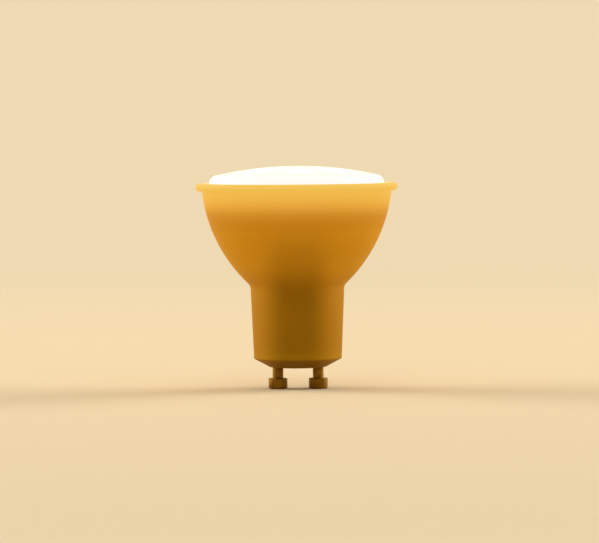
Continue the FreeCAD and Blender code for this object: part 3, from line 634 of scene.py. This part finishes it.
def screw_surface(shape, low, high, turn):
    """A pan-head screw in rings, from its tip up the thread, over the head and down into the cross recess.

    The thread's radius falls evenly from crest to root and back once in a pitch, and climbs a pitch in
    a turn; near the tip a cone cuts it. The recess's edge is the farther edge of two crossed bars."""
    angle = np.linspace(0.0, 2 * math.pi, PIN_RING_STEPS, endpoint=False)
    crest, head, foot = shape.screw_shank / 2, (high.x - low.x) / 2, high.z - shape.screw_head
    level = np.linspace(low.z, foot, THREAD_STEPS * round((foot - low.z) / shape.screw_pitch) + 1)
    climb = (level[:, None] - low.z) / shape.screw_pitch - angle / (2 * math.pi)
    thread = crest - shape.screw_thread * np.abs(2 * (climb % 1.0) - 1)
    cone = crest - 2 * shape.screw_thread + level[:, None] - low.z
    corners = [(0.0, foot, 0), (head, foot, 0), (head, high.z, shape.screw_round), (0.0, high.z, 0)]
    edge = rounded(corners)[1:-1]
    arm = shape.screw_recess / 2
    half_width = arm * math.tan(BAR_END)
    across, along = np.abs(np.cos(angle)), np.abs(np.sin(angle))
    bars = np.maximum(across / arm, along / half_width), np.maximum(across / half_width, along / arm)
    mouth = 1 / np.minimum(*bars)
    recess_floor = high.z - shape.screw_recess_depth
    head_rings = np.repeat(edge[:, :1], PIN_RING_STEPS, axis=1)
    radius = np.concatenate([np.minimum(thread, cone), head_rings, [mouth, RECESS_TAPER * mouth]])
    height = np.concatenate([level, edge[:, 1], [high.z, recess_floor]])
    middle = (low + high) / 2
    return ringed(middle.xy, radius, height, (low.z, recess_floor), turn)


def winding_outline(shape, low, high):
    """Section of the choke's winding along its axis: a hole, and outside it close turns of wire.

    Each turn is half a circle, a pitch wide, and the pitch is the wire made to fill the length."""
    turns = round((high.y - low.y) / shape.choke_wire)
    pitch = (high.y - low.y) / turns
    angle = np.tile(np.linspace(0.0, math.pi, ROUND_STEPS, endpoint=False), turns)
    turn = np.repeat(np.arange(turns), ROUND_STEPS)
    foot = (high.x - low.x) / 2 - pitch / 2
    radius = foot + pitch / 2 * np.sin(angle)
    place = low.y + pitch * (turn + (1 - np.cos(angle)) / 2)
    hole = shape.choke_stem / 2
    bulges = np.column_stack([radius, place])
    return np.concatenate([[(hole, low.y)], bulges, [(foot, high.y), (hole, high.y)]])


def housing_plastic(colours, at):
    """Satin amber plastic, brown at the base and brighter towards the rim, by painted light and shade.

    The base colour is graded by height as painted light and shade; the emission is a painted glow of the
    light inside shining through it, in the neck only beside the driver, which stands in its way."""
    finish = Finish("housing_plastic", Specular_IOR_Level=0.05, Emission_Strength=1.0)
    x, _, z = finish.axes()

    def up_neck(share):
        return partway(at.neck_foot, at.neck_top, share)

    def up_cup(share):
        return partway(at.neck_top, at.rim_under, share)

    # Painted light and shade by height: brown on the base and neck, brightest low in the cup, low at the
    # rim.
    painted_light_tones = [
        (up_neck(-0.013), colours.base),
        (up_neck(0.026), colours.neck_foot),
        (up_neck(0.194), colours.neck),
        (up_cup(0.0), colours.neck),
        (up_cup(0.24), colours.cup),
        (up_cup(0.55), colours.cup),
        (up_cup(0.80), colours.shoulder),
        (up_cup(1.0), colours.rim),
    ]
    tone = finish.ramp(z, at.base_face, at.rim_top, painted_light_tones, "EASE")
    clouds = finish.noise(9 * MM, detail=4.0)
    finish.wear(Base_Color=finish.shaded(tone, clouds, depth=0.16))
    shared_glow = [
        (up_cup(0.60), colours.glow_low),
        (up_cup(0.77), colours.glow_mid),
        (up_cup(0.95), colours.glow_high),
        (up_cup(1.0), colours.glow_rim),
        (at.rim_top, colours.glow_lip),
    ]
    # Painted shadow of the driver: close to the axis in x the blocked glow is used, so the neck is darker
    # in front of and behind the driver.
    blocked_glow = [(up_cup(0.05), NO_LIGHT), (up_cup(0.28), colours.glow_foot)]
    clear_glow = [(up_neck(0.0), colours.glow_neck), (up_cup(0.15), colours.glow_beside)]
    blocked, clear = (
        finish.ramp(z, at.base_face, at.rim_top, stops + shared_glow, "B_SPLINE")
        for stops in (blocked_glow, clear_glow)
    )
    driver_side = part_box("driver_board")[1].x
    beside_driver = finish.between(abs(x), 0.3 * driver_side, 1.15 * driver_side)
    glow = finish.mix(beside_driver, blocked, clear)
    inwards = 1 - finish.between(finish.radius(), at.bore_radius, at.rim_radius)
    on_rim = finish.between(z, at.rim_under, at.rim_top)
    finish.wear(Emission_Color=finish.mix(inwards * on_rim, glow, colours.glow_edge))
    grain = finish.noise(0.35 * MM, detail=2.0)
    finish.wear(Roughness=0.46 + 0.12 * clouds + 0.06 * grain)
    finish.relief(grain, depth=0.012 * MM, strength=0.6)
    return finish


def milky_diffuser(colours, stage, at):
    """Milky plastic lit from behind: soft spots over the ring of LEDs and a warmer edge."""
    finish = Finish("milky_diffuser", Base_Color=colours.milk, Emission_Strength=stage.lens_level)
    x, y, z = finish.axes()
    radius, ring = finish.radius(), led_ring()
    angle = finish.maths("ARCTAN2", y, x)
    petals = 0.5 + 0.5 * finish.maths("COSINE", angle * LED_COUNT)
    on_ring = 1 - finish.between(abs(radius - ring), 0.0, 0.75 * ring)
    spots = on_ring * (0.55 + 0.45 * petals)
    light = finish.mix(spots, colours.lens_between, colours.lens_middle)
    fall = finish.between(radius, 0.88 * at.lens_radius, 0.96 * at.lens_radius)
    light = finish.mix(fall, light, colours.lens_edge)
    skirt_fade, skirt_light = 1.5 * MM, 0.3
    below = 1 - finish.between(z, at.rim_top - skirt_fade, at.rim_top)
    light = finish.mix(below, light, [skirt_light * part for part in colours.lens_edge])
    finish.wear(Emission_Color=light)
    haze = finish.noise(2.5 * MM)
    finish.wear(Roughness=0.28 + 0.14 * haze)
    finish.relief(finish.noise(0.5 * MM), depth=0.006 * MM, strength=0.5)
    return finish


def turned_shaded_bronze(colours):
    """Dull metal with the fine rings of a lathe tool and darker stains; its dark bronze tone is painted
    shade.
    """
    finish = Finish("turned_shaded_bronze", Metallic=1.0)
    _, _, z = finish.axes()
    stain = finish.noise(1.6 * MM, detail=4.0)
    # The dark bronze tone is painted shade; the stains are darker patches at random.
    finish.wear(Base_Color=finish.mix(finish.between(stain, 0.4, 0.7), colours.shaded_bronze, colours.bronze_stain))
    wander = finish.noise(0.8 * MM, detail=2.0, stretch=(0.2, 0.2, 1.0))
    rings = 0.5 + 0.5 * finish.waves(z, 0.16 * MM, 5.0 * wander)
    finish.wear(Roughness=0.40 + 0.10 * rings + 0.14 * stain)
    finish.relief(rings, depth=0.006 * MM, strength=0.5)
    return finish


def pressed_aluminium(colours):
    """Pressed sheet with faint rings about the axis."""
    finish = Finish("pressed_aluminium", Metallic=1.0)
    radius = finish.radius()
    smear = finish.noise(1.2 * MM)
    rings = 0.5 + 0.5 * finish.waves(radius, 0.5 * MM, 4.0 * smear)
    finish.wear(Base_Color=finish.shaded(colours.aluminium, smear, depth=0.18))
    finish.wear(Roughness=0.28 + 0.10 * rings + 0.10 * smear)
    finish.relief(rings, depth=0.008 * MM, strength=0.2)
    return finish


def board_mask(colours):
    """White solder mask with a ring of copper showing faintly through it between the LEDs."""
    finish = Finish("led_board_mask", Specular_IOR_Level=0.5)
    track = 1 - finish.between(abs(finish.radius() - led_ring()), 1.1 * MM, 1.3 * MM)
    mottle = finish.noise(0.9 * MM)
    plain = finish.shaded(colours.board_mask, mottle, depth=0.08)
    finish.wear(Base_Color=finish.mix(0.14 * track, plain, colours.copper))
    finish.wear(Roughness=0.32 + 0.15 * mottle)
    finish.relief(track + 0.1 * mottle, depth=0.03 * MM, strength=0.6)
    return finish


def led_package(colours):
    """White frame around a window of yellow phosphor, which is lit."""
    finish = Finish("led_package", Specular_IOR_Level=0.45, Emission_Strength=1.0)
    _, _, z = finish.axes()
    window_depth = 0.12 * MM
    window_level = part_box(LED_NODES[0])[1].z - window_depth
    _, _, upward = finish.axes(finish.node("ShaderNodeTexCoord", output="Normal"))
    at_window = 1 - finish.between(abs(z - window_level), 0.02 * MM, 0.05 * MM)
    window = at_window * finish.between(upward, 0.5, 0.9)
    grain = finish.noise(0.12 * MM)
    frame_tone = finish.shaded(colours.package, grain, depth=0.06)
    finish.wear(Base_Color=finish.mix(window, frame_tone, colours.phosphor))
    finish.wear(Emission_Color=finish.mix(window, NO_LIGHT, colours.phosphor))
    finish.wear(Roughness=0.35 + 0.25 * grain)
    finish.relief(grain, depth=0.01 * MM, strength=0.5)
    return finish


def plated_steel(colours):
    """Plated steel with a fine grain."""
    finish = Finish("plated_steel", Metallic=1.0)
    grain = finish.noise(0.3 * MM)
    finish.wear(Base_Color=finish.shaded(colours.steel, grain, depth=0.2))
    finish.wear(Roughness=0.24 + 0.16 * grain)
    finish.relief(grain, depth=0.006 * MM, strength=0.4)
    return finish


def circuit_board(colours):
    """Green mask over copper tracks that run across and jog, and the weave of the glass cloth under it."""
    finish = Finish("circuit_board", Specular_IOR_Level=0.5)
    x, _, z = finish.axes()
    slant = finish.maths("PINGPONG", x, 6 * MM)
    jog = finish.maths("MINIMUM", finish.maths("MAXIMUM", slant, 2 * MM), 3.6 * MM)
    tracks = finish.between(finish.waves(z + jog, 1.6 * MM), 0.3, 0.45)
    weave = finish.waves(x, 0.5 * MM) * finish.waves(z, 0.5 * MM)
    mask = finish.shaded(colours.circuit, 0.5 + 0.5 * weave, depth=0.15)
    finish.wear(Base_Color=finish.mix(tracks, mask, colours.trace))
    finish.wear(Roughness=0.30 + 0.08 * weave * weave)
    finish.relief(tracks + 0.15 * weave, depth=0.02 * MM, strength=0.6)
    return finish


def tinned(finish, base, mask, roughness, colours):
    """Base colour with bright tin where mask is 1."""
    tin_roughness = 0.3
    finish.wear(Base_Color=finish.mix(mask, base, colours.tin))
    finish.wear(Metallic=mask, Roughness=roughness * (1 - mask) + tin_roughness * mask)


def behind_standoff(finish):
    """1 on a component's legs, which show between its body and the driver board's front."""
    _, y, _ = finish.axes()
    standoff = 0.3 * MM
    body_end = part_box("driver_board")[0].y - standoff
    return finish.between(y, body_end, body_end + 0.05 * MM)


def capacitor_sleeve(colours):
    """Shrunk sleeve with a pale stripe along one side, a bare aluminium end and tinned legs."""
    finish = Finish("capacitor_sleeve", Specular_IOR_Level=0.5)
    x, y, _ = finish.axes()
    low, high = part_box("smoothing_capacitor")
    stripe = finish.between(x, 0.62 * high.x, 0.66 * high.x)
    gloss = finish.noise(1.5 * MM)
    sleeve = finish.mix(stripe, finish.shaded(colours.sleeve, gloss, depth=0.3), colours.stripe)
    end = 1 - finish.between(y, low.y + 0.02 * MM, low.y + 0.06 * MM)
    metal = finish.maths("MAXIMUM", end, behind_standoff(finish))
    tinned(finish, sleeve, metal, 0.22 + 0.15 * gloss, colours)
    finish.relief(gloss, depth=0.02 * MM, strength=0.4)
    return finish


def moulded_case(name, tone, colours):
    """Glossy moulded box with tinned legs."""
    finish = Finish(name, Specular_IOR_Level=0.5)
    mottle = finish.noise(1.1 * MM, detail=4.0)
    case = finish.shaded(tone, mottle, depth=0.2)
    tinned(finish, case, behind_standoff(finish), 0.26 + 0.2 * mottle, colours)
    finish.relief(mottle, depth=0.015 * MM, strength=0.4)
    return finish


def ground_ferrite(colours):
    """Dark ground ferrite with bright specks and tinned legs."""
    finish = Finish("ground_ferrite", Specular_IOR_Level=0.4)
    specks = finish.noise(0.22 * MM, detail=2.0)
    bright = finish.between(specks, 0.6, 0.72)
    stone = finish.mix(0.4 * bright, colours.ferrite, colours.steel)
    tinned(finish, stone, behind_standoff(finish), 0.5 + 0.2 * specks, colours)
    finish.relief(specks, depth=0.02 * MM, strength=0.5)
    return finish


def enamelled_copper(colours):
    """Copper wire under clear enamel of uneven thickness."""
    finish = Finish("enamelled_copper", Metallic=1.0, Coat_Roughness=0.15)
    tone = finish.noise(1.4 * MM, detail=2.0)
    finish.wear(Base_Color=finish.shaded(colours.copper, tone, depth=0.5))
    finish.wear(Roughness=0.24 + 0.16 * tone, Coat_Weight=0.4 + 0.4 * tone)
    finish.relief(finish.noise(0.2 * MM), depth=0.01 * MM, strength=0.5)
    return finish


def chip_package(name, colours):
    """Black moulded package with flat tinned legs on two sides."""
    finish = Finish(f"{name}_package", Specular_IOR_Level=0.4)
    x, _, _ = finish.axes()
    middle, reach = middle_and_reach(name)
    leg = finish.between(abs(x - middle.x), reach.x - 1.1 * MM, reach.x - 1.0 * MM)
    grain = finish.noise(0.14 * MM)
    tinned(finish, finish.shaded(colours.chip, grain, depth=0.4), leg, 0.5 + 0.2 * grain, colours)
    finish.relief(grain, depth=0.012 * MM, strength=0.5)
    return finish


def glazed_resistor(colours):
    """Black glaze between tinned ends."""
    finish = Finish("glazed_resistor", Specular_IOR_Level=0.5)
    x, _, _ = finish.axes()
    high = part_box("chip_resistor_1")[1]
    grain = finish.noise(0.3 * MM)
    ends = finish.between(abs(x), high.x - 0.55 * MM, high.x - 0.45 * MM)
    tinned(finish, finish.shaded(colours.chip, grain, depth=0.3), ends, 0.2 + 0.2 * grain, colours)
    finish.relief(grain, depth=0.01 * MM, strength=0.4)
    return finish


def lead_sleeve(name, colours):
    """Soft insulation with bared and tinned wire at the lead's two ends."""
    finish = Finish(f"{name}_sleeve", Specular_IOR_Level=0.4)
    _, _, z = finish.axes()
    middle, reach = middle_and_reach(name)
    bared = finish.between(abs(z - middle.z), reach.z - 1.1 * MM, reach.z - 1.0 * MM)
    mottle = finish.noise(0.5 * MM)
    tinned(finish, finish.shaded(colours.lead, mottle, depth=0.12), bared, 0.45 + 0.2 * mottle, colours)
    finish.relief(mottle, depth=0.02 * MM, strength=0.4)
    return finish


def paper_finish(stage):
    """Matt paper with a very fine tooth. Far from the lamp it is seen evenly bright, also in metal."""
    finish = Finish("stage_paper", Specular_IOR_Level=0.0, Roughness=0.95)
    tooth = finish.noise(4 * MM)
    finish.wear(Base_Color=finish.shaded(stage.paper, tooth, depth=0.02))
    far = finish.between(finish.radius(), stage.even_start, stage.even_end)
    ways = ("Is Camera Ray", "Is Glossy Ray", "Is Transmission Ray")
    straight, glossy, through = (finish.node("ShaderNodeLightPath", output=way) for way in ways)
    seen = straight + glossy + through
    even = finish.node("ShaderNodeEmission", None, {"Color": stage.paper})
    shown = finish.node("ShaderNodeMixShader", None, {0: far * seen, 1: finish.surface, 2: even})
    finish.feed(finish.output.inputs["Surface"], shown)
    return finish


class LAMP_OT_housing(bpy.types.Operator):
    """Draw the housing with its rounded edges"""

    bl_idname = "lamp.housing"
    bl_label = "Housing"

    def execute(self, context):
        shape = settings("lamp_shape")
        at = levels(shape)
        surfaces = [lathe(housing_outline(shape, at)), *pin_bosses(shape, at), *board_rails(shape)]
        finish = housing_plastic(settings("lamp_colours"), at)
        new_piece("housing_shell", surfaces, finish, "housing_plastic", "housing")
        return {"FINISHED"}


class LAMP_OT_diffuser(bpy.types.Operator):
    """Light the milky diffuser"""

    bl_idname = "lamp.diffuser"
    bl_label = "Diffuser"

    def execute(self, context):
        shape = settings("lamp_shape")
        at = levels(shape)
        finish = milky_diffuser(settings("lamp_colours"), settings("lamp_stage"), at)
        surface = lathe(diffuser_outline(shape, at))
        new_piece("diffuser_cover", [surface], finish, "diffuser_plastic", "diffuser")
        return {"FINISHED"}


class LAMP_OT_pins(bpy.types.Operator):
    """Draw the two contact pins with their rounded edges"""

    bl_idname = "lamp.pins"
    bl_label = "Contact pins"

    def execute(self, context):
        shape = settings("lamp_shape")
        at = levels(shape)
        finish = turned_shaded_bronze(settings("lamp_colours"))
        for side in SIDES:
            node = f"contact_pin_{side}"
            middle, reach = middle_and_reach(node)
            outline = pin_outline(shape, at, reach.x, middle.z + reach.z)
            surface = lathe(outline, middle.x, PIN_RING_STEPS)
            new_piece(f"turned_pin_{side}", [surface], finish, "pin_metal", node)
        return {"FINISHED"}


class LAMP_OT_light_source(bpy.types.Operator):
    """Finish the heat sink dish, the LED board and its LEDs"""

    bl_idname = "lamp.light_source"
    bl_label = "LEDs and heat sink"

    def execute(self, context):
        colours = settings("lamp_colours")
        dress(pressed_aluminium(colours), "heat_sink_dish")
        dress(board_mask(colours), "led_board")
        dress(led_package(colours), *LED_NODES)
        return {"FINISHED"}


class LAMP_OT_screws(bpy.types.Operator):
    """Draw the LED board's screws with their recess and thread"""

    bl_idname = "lamp.screws"
    bl_label = "Board screws"

    def execute(self, context):
        shape = settings("lamp_shape")
        finish = plated_steel(settings("lamp_colours"))
        for number, turn in enumerate(SCREW_TURNS, 1):
            node = f"board_screw_{number}"
            surface = screw_surface(shape, *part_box(node), turn)
            new_piece(f"pan_screw_{number}", [surface], finish, "screw_steel", node)
        return {"FINISHED"}


class LAMP_OT_driver(bpy.types.Operator):
    """Finish the driver board, its components and the leads"""

    bl_idname = "lamp.driver"
    bl_label = "Driver"

    def execute(self, context):
        colours = settings("lamp_colours")
        dress(circuit_board(colours), "driver_board")
        dress(capacitor_sleeve(colours), "smoothing_capacitor")
        dress(ground_ferrite(colours), "choke_core")
        dress(moulded_case("film_case", colours.film, colours), "film_capacitor")
        dress(moulded_case("fuse_case", colours.fuse, colours), "fuse")
        dress(glazed_resistor(colours), *RESISTOR_NODES)
        for chip in ("rectifier", "driver_chip"):
            dress(chip_package(chip, colours), chip)
        for use in ("mains", "led"):
            dress(lead_sleeve(f"{use}_lead_left", colours), *(f"{use}_lead_{side}" for side in SIDES))
        return {"FINISHED"}


class LAMP_OT_winding(bpy.types.Operator):
    """Wind the choke with turns of wire"""

    bl_idname = "lamp.winding"
    bl_label = "Choke winding"

    def execute(self, context):
        middle, _ = middle_and_reach("choke_winding")
        outline = winding_outline(settings("lamp_shape"), *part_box("choke_winding"))
        surface = laid_along_y(lathe(outline, middle.x, PIN_RING_STEPS), middle.z)
        finish = enamelled_copper(settings("lamp_colours"))
        new_piece("wound_wire", [surface], finish, "winding_copper", "choke_winding")
        return {"FINISHED"}


def sweep_backdrop(reach, bend, height):
    """A floor that bends up into a wall: point (i, j) is the section's point i, carried along X to j."""
    turn = np.linspace(-math.pi / 2, 0.0, BEND_STEPS + 1)
    section = np.column_stack([reach + bend * np.cos(turn), bend + bend * np.sin(turn)])
    section = np.concatenate([[[-2 * reach, 0.0]], section, [[reach + bend, height]]])
    sides = np.array([-2 * reach, 2 * reach])
    x, y = np.meshgrid(sides, section[:, 0])
    z = np.repeat(section[:, 1:], 2, axis=1)
    row = 2 * np.arange(len(section) - 1)
    faces = np.column_stack([row, row + 1, row + 3, row + 2])
    return np.stack([x, y, z], axis=-1).reshape(-1, 3), faces


def softbox(name, place, target, size, power):
    """A square lamp that faces a point."""
    data = bpy.data.lights.new(name, "AREA")
    data.size = size
    data.energy = power
    lamp = bpy.data.objects.new(name, data)
    lamp.location = place
    lamp.rotation_euler = (Vector(target) - Vector(place)).to_track_quat("-Z", "Y").to_euler()
    bpy.context.scene.collection.objects.link(lamp)


class LAMP_OT_stage(bpy.types.Operator):
    """Set the floor, the light and the camera"""

    bl_idname = "lamp.stage"
    bl_label = "Stage"

    def execute(self, context):
        stage = settings("lamp_stage")
        scene = context.scene
        scene.view_settings.view_transform = "Standard"
        self.make_backdrop(stage)
        self.make_light(stage, scene)
        self.make_camera(stage, scene)
        return {"FINISHED"}

    def make_backdrop(self, stage):
        points, faces = sweep_backdrop(stage.floor_reach, stage.floor_bend, stage.wall_height)
        mesh = bpy.data.meshes.new("backdrop")
        mesh.from_pydata(points.tolist(), [], faces.tolist())
        mesh.shade_smooth()
        mesh.materials.append(paper_finish(stage).material)
        backdrop = bpy.data.objects.new("backdrop", mesh)
        bpy.context.scene.collection.objects.link(backdrop)

    def make_light(self, stage, scene):
        world = bpy.data.worlds.new("even_light")
        world.use_nodes = True
        background = world.node_tree.nodes["Background"]
        background.inputs["Color"].default_value = (*stage.sky, 1.0)
        background.inputs["Strength"].default_value = stage.sky_level
        scene.world = world
        middle = (0.0, 0.0, stage.aim_height)
        for side, sign in zip(SIDES, (-1, 1)):
            place = (sign * stage.side_reach, stage.side_back, stage.side_height)
            softbox(f"{side}_softbox", place, middle, stage.side_size, stage.side_power)
        above = (0.0, -stage.top_front, stage.top_height)
        softbox("top_softbox", above, middle, stage.top_size, stage.top_power)

    def make_camera(self, stage, scene):
        data = bpy.data.cameras.new("camera")
        data.sensor_width = SENSOR_WIDTH
        data.lens = SENSOR_WIDTH * stage.view_distance / stage.view_width
        camera = bpy.data.objects.new("camera", data)
        place = Vector((stage.aim_side, -stage.view_distance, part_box("housing")[1].z + stage.view_lift))
        aim = Vector((stage.aim_side, 0.0, stage.aim_height))
        turn = (aim - place).to_track_quat("-Z", "Y").to_matrix().to_4x4()
        camera.matrix_world = Matrix.Translation(place) @ turn @ Matrix.Rotation(stage.roll, 4, "Z")
        scene.collection.objects.link(camera)
        scene.camera = camera


STEPS = (
    LAMP_OT_housing,
    LAMP_OT_diffuser,
    LAMP_OT_pins,
    LAMP_OT_light_source,
    LAMP_OT_screws,
    LAMP_OT_driver,
    LAMP_OT_winding,
    LAMP_OT_stage,
)


class LAMP_PT_sidebar(bpy.types.Panel):
    """Lists the lamp's pieces"""

    bl_label = "Spotlight lamp"
    bl_space_type = "VIEW_3D"
    bl_region_type = "UI"
    bl_category = "Lamp"

    def draw(self, context):
        for step in STEPS:
            self.layout.operator(step.bl_idname)


CLASSES = (*(group for _, group in SETTINGS), *STEPS, LAMP_PT_sidebar)


def register():
    for cls in CLASSES:
        bpy.utils.register_class(cls)
    for name, group in SETTINGS:
        setattr(bpy.types.Scene, name, bpy.props.PointerProperty(type=group))


def unregister():
    for name, _ in SETTINGS:
        delattr(bpy.types.Scene, name)
    for cls in reversed(CLASSES):
        bpy.utils.unregister_class(cls)


def main():
    register()
    bpy.ops.lamp.housing()
    bpy.ops.lamp.diffuser()
    bpy.ops.lamp.pins()
    bpy.ops.lamp.light_source()
    bpy.ops.lamp.screws()
    bpy.ops.lamp.driver()
    bpy.ops.lamp.winding()
    bpy.ops.lamp.stage()


if __name__ == "__main__":
    main()
